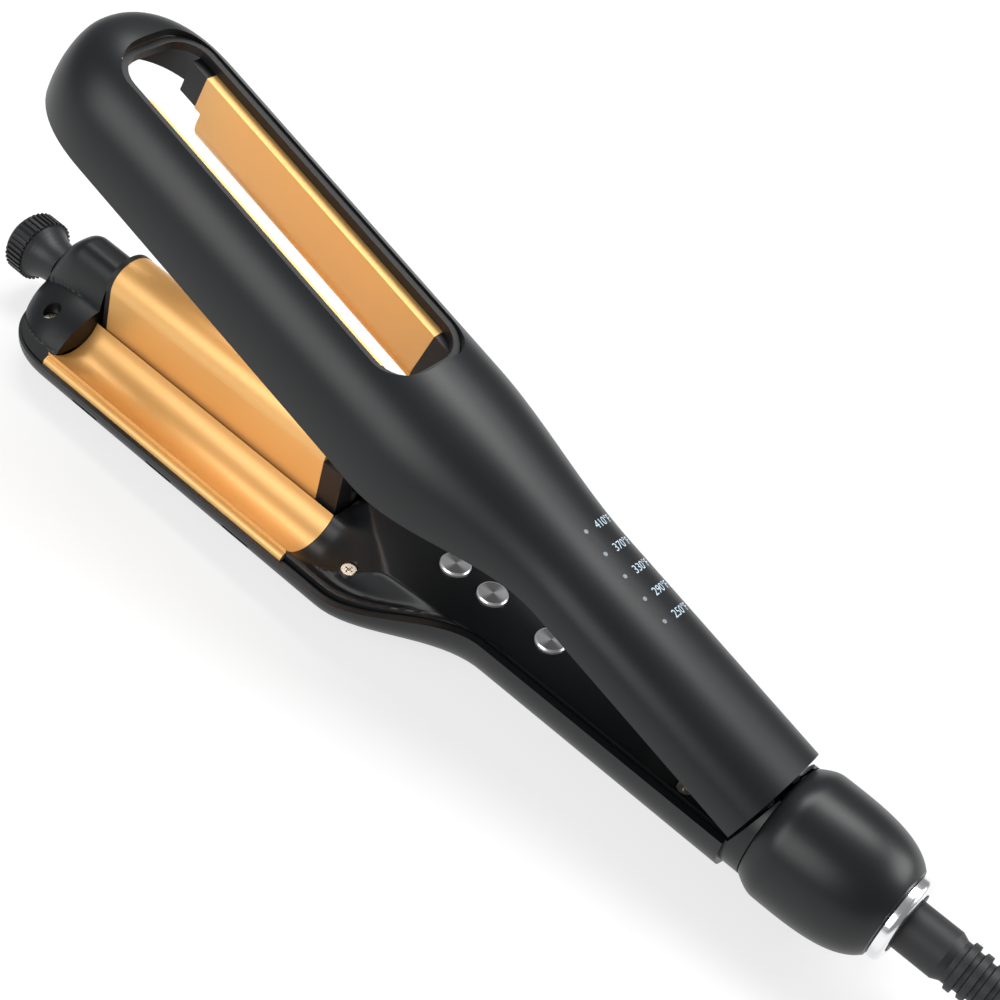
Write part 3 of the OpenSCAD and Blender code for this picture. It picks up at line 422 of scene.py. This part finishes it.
def roundCutter(place, radius, depth=cutDeep, turn=(0, 0, 0), sides=64):
    startClean()
    bpy.ops.mesh.primitive_cylinder_add(vertices=sides, radius=radius * mm, depth=depth * mm,
                                        location=[c * mm for c in place], rotation=turn)
    return bpy.context.object


def slotCutter(start, end, half, corner, low, high):
    # a cylinder pulled apart into a long rounded slot; points on an axis all go to its positive side
    cutter = roundCutter((0, 0, 0), corner, high - low, sides=96)
    for vert in cutter.data.vertices:
        vert.co.x += math.copysign((end - start) / 2 - corner, vert.co.x + 1e-7) * mm
        vert.co.y += math.copysign(half - corner, vert.co.y + 1e-7) * mm
    cutter.location = ((headMid - (start + end) / 2) * mm, 0, (low + high) / 2 * mm)
    return cutter


def boxCutter(place, size):
    startClean()
    bpy.ops.mesh.primitive_cube_add(size=1, location=[c * mm for c in place], scale=[c * mm for c in size])
    return bpy.context.object


def closeNose(piece, row):
    # the last section gets a face, so that the nose is closed
    openMesh(piece, "DESELECT")
    closeMesh()
    for vert in piece.data.vertices[-row:]:
        vert.select = True
    bpy.ops.object.mode_set(mode="EDIT")
    bpy.ops.mesh.select_mode(type="VERT")
    bpy.ops.mesh.edge_face_add()
    closeMesh()


def thicken(piece, down, flatAt=None):
    # a sheet is extruded straight down, or to a flat underside
    openMesh(piece)
    bpy.ops.mesh.extrude_region_move(TRANSFORM_OT_translate={"value": (0, 0, down * mm)})
    closeMesh()
    if flatAt is not None:
        for vert in piece.data.vertices:
            if vert.select:
                vert.co.z = flatAt * mm
    faceOutward(piece)


def finishPiece(piece, finish, riding, stands=(), swung=False, angle=32):
    # places it, smooths its faces and gives it its material; a swung piece opens with the upper arm
    take(piece)
    bpy.ops.object.transform_apply(location=True, rotation=True, scale=True)
    if swung:
        piece.data.transform(swing)
    bpy.ops.object.shade_smooth_by_angle(angle=math.radians(angle))
    piece.data.materials.clear()
    piece.data.materials.append(finish)
    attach(piece, riding)
    if stands:
        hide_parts(*stands)


# Lower casing, with three vent slits on each side
lowerSet = {"arc": 72, "steps": 90, "noseSteps": 24, "vents": 3, "ventShare": 9.5, "ventHigh": 1.2,
            "ventDown": 3.2, "ventOver": 4, "ventAt": 0.165, "ventStep": 0.318}
rows = [arcRow(s, lowerNose, lowerLen, lowerHalf(s), lowerRim(s),
               blendTo(body["handleLow"], body["headLow"], waist(s)), body["lowerRound"], lowerSet["arc"])
        for s in along(0, lowerNose, lowerLen, lowerSet["steps"], lowerSet["noseSteps"])]
lowerCasing = gridPiece("lowerCasing", rows)
closeNose(lowerCasing, lowerSet["arc"] + 1)
useModifier(lowerCasing, "SOLIDIFY", thickness=body["wall"] * mm, offset=-1)
ventSize = (body["plateLen"] / lowerSet["ventShare"], body["headW"] + lowerSet["ventOver"],
            lowerSet["ventHigh"])
for i in range(lowerSet["vents"]):
    s = body["plateStart"] + body["plateLen"] * (lowerSet["ventAt"] + lowerSet["ventStep"] * i)
    cutWith(lowerCasing, boxCutter((headMid - s, 0, body["plateRim"] - lowerSet["ventDown"]), ventSize))
finishPiece(lowerCasing, finishes["shell"], "lower", ["lower_shell"])
print("lower casing done")


# Upper casing, with the long window, the lamp holes and the notch over the knob
upperSet = {"start": 0.6, "arc": 72, "steps": 90, "noseSteps": 24, "windowRear": 4.2, "windowTip": 15.8,
            "windowEdge": 2, "windowCorner": 10, "windowHigh": 40, "lampStart": 47.8, "lampStep": 7.06,
            "lamps": 5, "lampR": 0.65, "lampZ": 14, "notchIn": 3, "notchDown": 3.3, "notchLess": 0.2,
            "notchDeep": 16}
rows = [arcRow(s, upperNose, upperLen, -upperHalf(s), upperRim(s), upperCrown(s), body["upperRound"],
               upperSet["arc"])
        for s in along(upperSet["start"], upperNose, upperLen, upperSet["steps"], upperSet["noseSteps"])]
upperCasing = gridPiece("upperCasing", rows)
closeNose(upperCasing, upperSet["arc"] + 1)
useModifier(upperCasing, "SOLIDIFY", thickness=body["wall"] * mm, offset=-1)
cutWith(upperCasing, slotCutter(body["plateStart"] - upperSet["windowRear"], plateEnd + upperSet["windowTip"],
                                body["windowW"] + upperSet["windowEdge"], upperSet["windowCorner"],
                                upperZero, upperZero + upperSet["windowHigh"]))
lampAt = [upperSet["lampStart"] + upperSet["lampStep"] * i for i in range(upperSet["lamps"])]
for s in lampAt:
    cutWith(upperCasing, roundCutter((headMid - s, 0, upperZero + upperSet["lampZ"]), upperSet["lampR"]))
notchAt = (headMid - upperLen + upperSet["notchIn"], 0, body["knobZ"] - upperSet["notchDown"])
cutWith(upperCasing, roundCutter(notchAt, body["knobR"] - upperSet["notchLess"], upperSet["notchDeep"],
                                 (0, math.pi / 2, 0)))
finishPiece(upperCasing, finishes["shell"], "upper", ["upper_shell"], swung=True)
print("upper casing done")


# Temperature numbers beside the lamps
numberSet = {"texts": ["250°F", "290°F", "330°F", "370°F", "410°F"], "extrude": 0.005, "from": 3.8,
             "wide": 7.4, "proud": 0.03}
for words, s in zip(numberSet["texts"], lampAt):
    startClean()
    bpy.ops.object.text_add()
    label = bpy.context.object
    label.data.body = words
    label.data.extrude = numberSet["extrude"]
    bpy.ops.object.convert(target="MESH")
    label = bpy.context.object
    label.name = "number" + words[:3]
    xs = [v.co.x for v in label.data.vertices]
    ys = [v.co.y for v in label.data.vertices]
    scale = numberSet["wide"] / (max(xs) - min(xs))
    for vert in label.data.vertices:
        y = numberSet["from"] + (vert.co.x - min(xs)) * scale
        down = s + (vert.co.y - (min(ys) + max(ys)) / 2) * scale
        crown, rim = upperCrown(down), upperRim(down)
        e = body["upperRound"]
        z = rim + (crown - rim) * (1 - abs(y / upperHalf(down)) ** e) ** (1 / e)
        vert.co = Vector((headMid - down, y, z + numberSet["proud"] * (1 if vert.co.z > 0 else -1))) * mm
    finishPiece(label, finishes["print"], "upper", swung=True)
print("numbers printed")


# Inner deck of the handle, which rises into the saddle in front of the plates
deckSet = {
    "start": 0.3, "gapToPlates": 0.2, "drop": 1.0, "thick": 2.0, "across": 96, "edgeCrowd": 0.6, "steps": 150,
    "inset": 0.45, "bead": 0.4, "beadLeast": 0.35, "saddle": 5.3, "saddleSlope": 1.51, "saddleFlat": 2.5,
    "saddleEnd": 3, "rampLeast": 6, "sideInset": 1, "sideFade": 0.8, "sideGrow": 4, "troughR": 9.76,
    "troughRise": 8.85, "troughSpan": 1.93, "lipR": 1.8, "buttonHole": 4.4, "buttonDeep": 16, "cupAt": 26,
    "cup": 4.9, "screws": ((118.7, 18.55), (16, 9.5)), "screwHole": 2.4, "recess": 1.5,
}
deckTop = body["handleRim"] - deckSet["drop"]
troughR, lipR = deckSet["troughR"], deckSet["lipR"]


def lip(u):
    return math.sqrt(max(0, lipR ** 2 - (min(u, lipR) - lipR) ** 2))


def hollow(u):
    reach = min(u, troughR * deckSet["troughSpan"]) - troughR
    return deckSet["troughRise"] - math.sqrt(max(0.5, troughR ** 2 - reach ** 2))


def troughZ(u):
    # section of a trough plate, u in from its outer edge
    if u < lipR:
        return lip(u)
    return min(lipR, hollow(u)) if u < troughR else hollow(u)


def deckEdge(s):
    return lowerHalf(s) - body["wall"] - deckSet["inset"]


def deckZ(s, y):
    k = waist(s)
    u = blendTo(deckEdge(s), lowerHalf(s) - body["troughEdge"], k) - abs(y)
    bead = blendTo(deckSet["bead"], 1, k)
    edge = max(deckSet["beadLeast"], lip(u) * bead) if u < lipR else blendTo(lipR * bead, troughZ(u), k)
    slope = deckSet["saddleSlope"] * max(0, abs(y) - deckSet["saddleFlat"])
    crest = body["plateStart"] - deckSet["saddle"] - slope
    ramp = ease((s - crest) / max(deckSet["rampLeast"], body["plateStart"] - deckSet["saddleEnd"] - crest))
    fade = deckSet["sideFade"] + deckSet["sideGrow"] * k
    side = ease((abs(y) - (upperHalf(s) - body["wall"] - deckSet["sideInset"] - fade)) / fade)
    return blendTo(deckTop, lowerRim(s) + edge, max(ramp, side))


def deckRow(s):
    # points stand closer together near the edges
    half, crowd = deckSet["across"] // 2, deckSet["edgeCrowd"]
    fractions = [crowd * math.sin(math.pi / 2 * i / half) + (1 - crowd) * i / half
                 for i in range(-half, half + 1)]
    return [(headMid - s, f * deckEdge(s), deckZ(s, f * deckEdge(s))) for f in fractions]


deckEnd = body["plateStart"] - deckSet["gapToPlates"]
deck = gridPiece("handleDeck", [deckRow(blendTo(deckSet["start"], deckEnd, i / deckSet["steps"]))
                                for i in range(deckSet["steps"] + 1)])
thicken(deck, -deckSet["thick"])
buttonAt = {"button_power": 66.8, "button_plus": 86.6, "button_minus": 99.5}
for s in buttonAt.values():
    cutWith(deck, roundCutter((headMid - s, 0, deckTop), deckSet["buttonHole"], deckSet["buttonDeep"]))
cutWith(deck, roundCutter((headMid - deckSet["cupAt"], 0, deckTop), deckSet["cup"]))
for s, y in deckSet["screws"]:
    for side in (-1, 1):
        cutWith(deck, roundCutter((headMid - s, side * y, deckZ(s, y) + cutDeep / 2 - deckSet["recess"]),
                                  deckSet["screwHole"]))
finishPiece(deck, finishes["shell"], "lower", ["lower_deck"], angle=40)
print("deck done")


# Cap over the lower nose: the knob's bearing tower between two round lobes
capSet = {
    "start": 0.2, "back": 0.05, "steps": 70, "halfAcross": 60, "inset": 1, "least": 1.5, "thick": 0.7,
    "closer": (0.296, 0.304, 0.309, 0.3115, 0.3135, 0.32), "lobeOver": 0.2, "lobeHigh": 10, "lobeFrom": 6,
    "lobePast": 3, "lobeNose": 2.2, "lobeRound": 2.5, "lobeFull": 0.8, "towerGap": 0.3, "towerLen": 22.5,
    "towerFrom": 9, "towerPast": 1, "towerNose": 2, "towerDown": 4, "towerRound": 2.8, "towerFull": 0.45,
    "screw": (10.5, 16.5), "screwHole": 2.4, "recess": 2.4,
}
capStart = plateEnd + capSet["start"]
capEnd = lowerLen - capSet["back"]
towerHalf = body["troughIn"] - capSet["towerGap"]
towerEnd = plateEnd + capSet["towerLen"]
lobeHalf = body["upperHeadW"] / 2 - body["wall"] + capSet["lobeOver"]


def capHalf(s):
    return lowerHalf(s) * nose(s, lowerNose, lowerLen, body["noseRound"]) - capSet["inset"]


def lobeZ(s, y):
    c = nose(s, capStart + capSet["lobeFrom"], lowerLen + capSet["lobePast"], capSet["lobeNose"])
    dome = 1 - min(1, abs(y) / (lobeHalf * c)) ** capSet["lobeRound"]
    return capSet["lobeHigh"] * c * max(0, dome) ** capSet["lobeFull"]


def towerZ(s, y):
    if abs(y) > towerHalf:
        return 0
    c = nose(s, towerEnd - capSet["towerFrom"], towerEnd + capSet["towerPast"], capSet["towerNose"])
    dome = 1 - (abs(y) / (towerHalf + capSet["towerGap"])) ** capSet["towerRound"]
    return (body["barrelTop"] - capSet["towerDown"] - body["plateRim"]) * c * dome ** capSet["towerFull"]


def capZ(s, y):
    return body["plateRim"] + max(capSet["thick"], lobeZ(s, y), towerZ(s, y))


# evenly across, with closer points at the tower's sides
capSteps = capSet["halfAcross"]
capFractions = sorted({round(i / capSteps, 4) for i in range(capSteps + 1)} | set(capSet["closer"]))
capFractions = [-f for f in reversed(capFractions[1:])] + capFractions


def capRow(s):
    half = max(capSet["least"], capHalf(s))
    return [(headMid - s, f * half, capZ(s, f * half)) for f in capFractions]


cap = gridPiece("tipCap", [capRow(blendTo(capStart, capEnd, i / capSet["steps"]))
                           for i in range(capSet["steps"] + 1)])
thicken(cap, 0, flatAt=body["plateRim"])
screwS, screwY = plateEnd + capSet["screw"][0], capSet["screw"][1]
screwZ = capZ(screwS + capSet["screwHole"], screwY + capSet["screwHole"]) + cutDeep / 2 - capSet["recess"]
for side in (-1, 1):
    cutWith(cap, roundCutter((headMid - screwS, side * screwY, screwZ), capSet["screwHole"]))
finishPiece(cap, finishes["shell"], "lower", ["tip_cap"], angle=40)
print("tip cap done")


# Turned pieces at the rear, as (distance behind the arms, radius)
rearSet = {
    "axisZ": 21.7, "sides": 96, "bore": 8.6, "seam": 5.3, "neckR": 15.8, "edge": 0.4, "edgeIn": 0.35,
    "domeR": 18.1, "shoulder": 5.9, "shoulderSteps": 10, "domeBack": 39.2, "domeRound": 3.19, "domeFull": 0.9,
    "domeSteps": 48, "ringHole": 8.2, "ringR": 11.6, "ringW": 3.6, "ringFoot": 0.6, "footLen": 0.7,
    "footSteps": 6, "ringRound": 1.6, "ringSteps": 10,
}


def turnedPiece(name, profile):
    turns = [2 * math.pi * i / rearSet["sides"] for i in range(rearSet["sides"] + 1)]
    rows = [[(headMid + x, r * math.cos(a), rearSet["axisZ"] + r * math.sin(a)) for a in turns]
            for x, r in profile]
    piece = gridPiece(name, rows)
    faceOutward(piece, weld=0.000001)
    return piece


def quarter(steps, first=1):
    # angles over a quarter turn
    return [math.pi / 2 * k / steps for k in range(first, steps + 1)]


seam, neckR, domeR = rearSet["seam"], rearSet["neckR"], rearSet["domeR"]
domeFrom = seam + rearSet["edge"] + rearSet["shoulder"]
domeProfile = [(seam, rearSet["bore"]), (seam, neckR - rearSet["edge"]), (seam + rearSet["edgeIn"], neckR)]
domeProfile += [(seam + rearSet["edge"] + rearSet["shoulder"] * k / rearSet["shoulderSteps"],
                 neckR + (domeR - neckR) * math.sin(math.pi / 2 * k / rearSet["shoulderSteps"]))
                for k in range(1, rearSet["shoulderSteps"] + 1)]
for step in range(1, rearSet["domeSteps"] + 1):
    k, e = step / rearSet["domeSteps"], rearSet["domeRound"]
    domeProfile.append((blendTo(domeFrom, rearSet["domeBack"], k),
                        domeR * (1 - (rearSet["domeFull"] * k) ** e) ** (1 / e)))
domeProfile += [(rearSet["domeBack"], rearSet["bore"]), (seam, rearSet["bore"])]
dome = turnedPiece("cordDome", domeProfile)
finishPiece(dome, finishes["shell"], "lower", ["swivel_dome"], angle=30)

ringBase, ringR = rearSet["domeBack"], rearSet["ringR"]
ringFoot, ringRound = rearSet["ringFoot"], rearSet["ringRound"]
ringEnd = ringBase + rearSet["ringW"]
ringProfile = [(ringBase, rearSet["ringHole"]), (ringBase, ringR - ringFoot)]
ringProfile += [(ringBase + rearSet["footLen"] * math.sin(a), ringR - ringFoot * math.cos(a))
                for a in quarter(rearSet["footSteps"])]
ringProfile += [(ringEnd - ringRound + ringRound * math.sin(a), ringR - ringRound + ringRound * math.cos(a))
                for a in quarter(rearSet["ringSteps"], 0)]
ringProfile += [(ringEnd, rearSet["ringHole"]), (ringBase, rearSet["ringHole"])]
ring = turnedPiece("chromeRing", ringProfile)
finishPiece(ring, finishes["chrome"], "lower", ["chrome_ring"])
print("rear end done")


# Spring under the upper arm, wound at one fixed height, though the real one flattens as the arms close
springSet = {"x": 154.3, "low": 14.7, "top": 31.97, "radius": 4.2, "wire": 0.9, "turns": 5, "steps": 24,
             "crowd": 0.6, "keep": 0.46}
springTall = springSet["top"] - springSet["low"] - springSet["wire"]
springMean = springSet["radius"] - springSet["wire"] / 2
springFoot = springSet["low"] + springSet["wire"] / 2


def springPoint(i):
    # the turns lie closer together at both ends
    k = i / (springSet["turns"] * springSet["steps"])
    a = 2 * math.pi * i / springSet["steps"]
    return (springSet["x"] + springMean * math.cos(a), springMean * math.sin(a),
            springFoot + springTall * blendTo(k, ease(k), springSet["crowd"]))


springLine = [springPoint(i) for i in range(springSet["turns"] * springSet["steps"] + 1)]
take(roundWire("armSpring", springLine, springSet["wire"] / 2, 2))
bpy.ops.object.convert(target="MESH")
armSpring = bpy.context.object
finishPiece(armSpring, finishes["steel"], "lower", ["arm_spring"], angle=60)
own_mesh(armSpring)
print("spring wound")


# Buttons keep their CAD form; rings are brushed into the metal, and the pale and dark wedges of their sheen
# are painted into the colour as painted highlight and painted shade along a fixed light direction
buttonSet = {
    "radius": 4.2, "metallic": 0.65, "paintedSheenAxis": (0.76, 0.65), "paintedSheenWedge": (0.25, 0.85), "rings": 9000,
    "rim": (0.84, 0.88), "dark": (0.26, 0.26, 0.27, 1), "paintedSheenPale": (0.92, 0.92, 0.94, 1), "ringShare": 0.35,
    "ringTone": (0.45, 0.45, 0.46, 1), "rimTone": (0.82, 0.82, 0.84, 1), "rough": 0.24, "ringRough": 0.16,
    "depth": 0.15, "bump": 0.00001,
}


def brushedPaintedSheenButton(name, x):
    made = Finish(name, buttonSet["rough"], buttonSet["metallic"])
    parts = made.add("ShaderNodeSeparateXYZ", {}, {0: made.place(shift=(-x, 0, 0))})
    # painted highlight and painted shade: the colour goes pale along a fixed light direction and dark across
    # it
    across = parts[0] * buttonSet["paintedSheenAxis"][0] + parts[1] * buttonSet["paintedSheenAxis"][1]
    radius = (parts[0] * parts[0] + parts[1] * parts[1]).root()
    paintedSheenWedge = (across * across / (radius * radius + 1e-9)).clip(*buttonSet["paintedSheenWedge"])
    rings = made.noise(made.add("ShaderNodeCombineXYZ", {}, {0: radius * buttonSet["rings"]})[0], 1.0, 3.0)
    rim = radius.clip(*(buttonSet["radius"] * mm * share for share in buttonSet["rim"]))
    # the painted sheen wedges, dark to pale, set the face colour
    face = made.mix(paintedSheenWedge, buttonSet["dark"], buttonSet["paintedSheenPale"])
    face = made.mix(rings * buttonSet["ringShare"], face, buttonSet["ringTone"])
    made.colour(made.mix(rim, face, buttonSet["rimTone"]))
    made.rough(buttonSet["rough"] + rings * buttonSet["ringRough"])
    made.bump(rings, buttonSet["depth"], buttonSet["bump"])
    return made.material


def dress(name, finish):
    for slot in nodes[name].material_slots:
        slot.material = finish


dressed = {
    "shell": ["rear_neck"],
    "inner": ["window_frame", "barrel_carrier", "jaw_ends", "upper_cover", "hinge_bracket", "spring_cup",
              "barrel_guides", "swivel_collar"],
    "gold": ["trough_left", "trough_right", "barrel", "jaw_left", "jaw_right"],
    "steel": ["deck_screws", "tip_screw", "upper_screws", "hinge_pin", "lift_screw", "plug_pins",
              "tactile_switches"],
    "knob": ["knob"],
    "rubber": ["strain_relief", "cord_tie", "plug_relief", "plug_body"],
    "ceramic": ["trough_heaters", "barrel_heater", "jaw_heaters", "thermal_fuse"],
    "board": ["control_board", "lamp_board"],
    "copper": ["supply_leads"],
    "lamp": ["light_pipes"],
}
for finishName, members in dressed.items():
    for name in members:
        dress(name, finishes[finishName])
for name, s in buttonAt.items():
    dress(name, brushedPaintedSheenButton(name + "Face", (headMid - s) * mm))
powerCord.data.materials.append(finishes["cord"])
print("materials given")


# Pale floor, white to the camera apart from the object's shadow
floorSet = {"size": 12.0, "parts": 4, "rough": 0.9, "colour": (0.9, 0.9, 0.9, 1),
            "shade": (0.86, 0.86, 0.86, 1), "noise": 3.0, "shadeShare": 0.1, "white": 0.72}
startClean()
bpy.ops.mesh.primitive_grid_add(x_subdivisions=floorSet["parts"], y_subdivisions=floorSet["parts"],
                                size=floorSet["size"])
floor = bpy.context.object
floor.name = "paleFloor"
floorFinish = Finish("paleFloor", floorSet["rough"])
drift = floorFinish.noise(floorFinish.place(), floorSet["noise"]) * floorSet["shadeShare"]
floorFinish.colour(floorFinish.mix(drift, floorSet["colour"], floorSet["shade"]))
path = floorFinish.add("ShaderNodeLightPath")
seen = (path[0] + path[3] + path[6]).clip(0, 1)  # camera, glossy and transmission rays
glow = floorFinish.add("ShaderNodeEmission", {}, {"Color": (1, 1, 1, 1), "Strength": 1.0})[0]
plain = Value(floorFinish, floorFinish.shader.outputs[0])
blended = floorFinish.add("ShaderNodeMixShader", {}, {0: seen * floorSet["white"], 1: plain, 2: glow})[0]
surface = next(n for n in floorFinish.tree.nodes if n.type == "OUTPUT_MATERIAL")
floorFinish.put(surface.inputs["Surface"], blended)
floor.data.materials.append(floorFinish.material)

# Soft studio light: a softbox over the arms, one behind and a wide one in front
lightSet = {
    "overhead": {"place": (-0.1, 0.35, 0.9), "aim": (0.05, 0, 0.02), "size": (1.0, 0.35), "power": 9.0},
    "rear": {"place": (0.7, 0.5, 0.5), "aim": (0.1, 0, 0.02), "size": (0.5, 0.5), "power": 5.0},
    "fill": {"place": (-0.2, -0.9, 0.6), "aim": (0.05, 0, 0.02), "size": (0.9, 0.6), "power": 7.0},
}
for name, light in lightSet.items():
    bpy.ops.object.light_add(type="AREA", location=light["place"])
    lamp = bpy.context.object
    lamp.name = name
    lamp.data.shape = "RECTANGLE"
    lamp.data.size, lamp.data.size_y = light["size"]
    lamp.data.energy = light["power"]
    lamp.rotation_euler = (Vector(light["aim"]) - Vector(light["place"])).to_track_quat("-Z", "Y").to_euler()

# White studio round it, at full strength to the camera and weak as a light
worldSet = {"colour": (1, 1, 1, 1), "seen": 1.0, "light": 0.26}
world = bpy.data.worlds.new("studio")
bpy.context.scene.world = world
world.use_nodes = True
studio = NodeSheet(world.node_tree)
cameraRay = studio.add("ShaderNodeLightPath")[0]
strength = studio.add("ShaderNodeMapRange", {}, {"Value": cameraRay, "To Min": worldSet["light"],
                                                 "To Max": worldSet["seen"]})[0]
backdrop = world.node_tree.nodes["Background"]
studio.put(backdrop.inputs["Color"], worldSet["colour"])
studio.put(backdrop.inputs["Strength"], strength)
bpy.context.scene.view_settings.view_transform = "Standard"
print("studio lit")
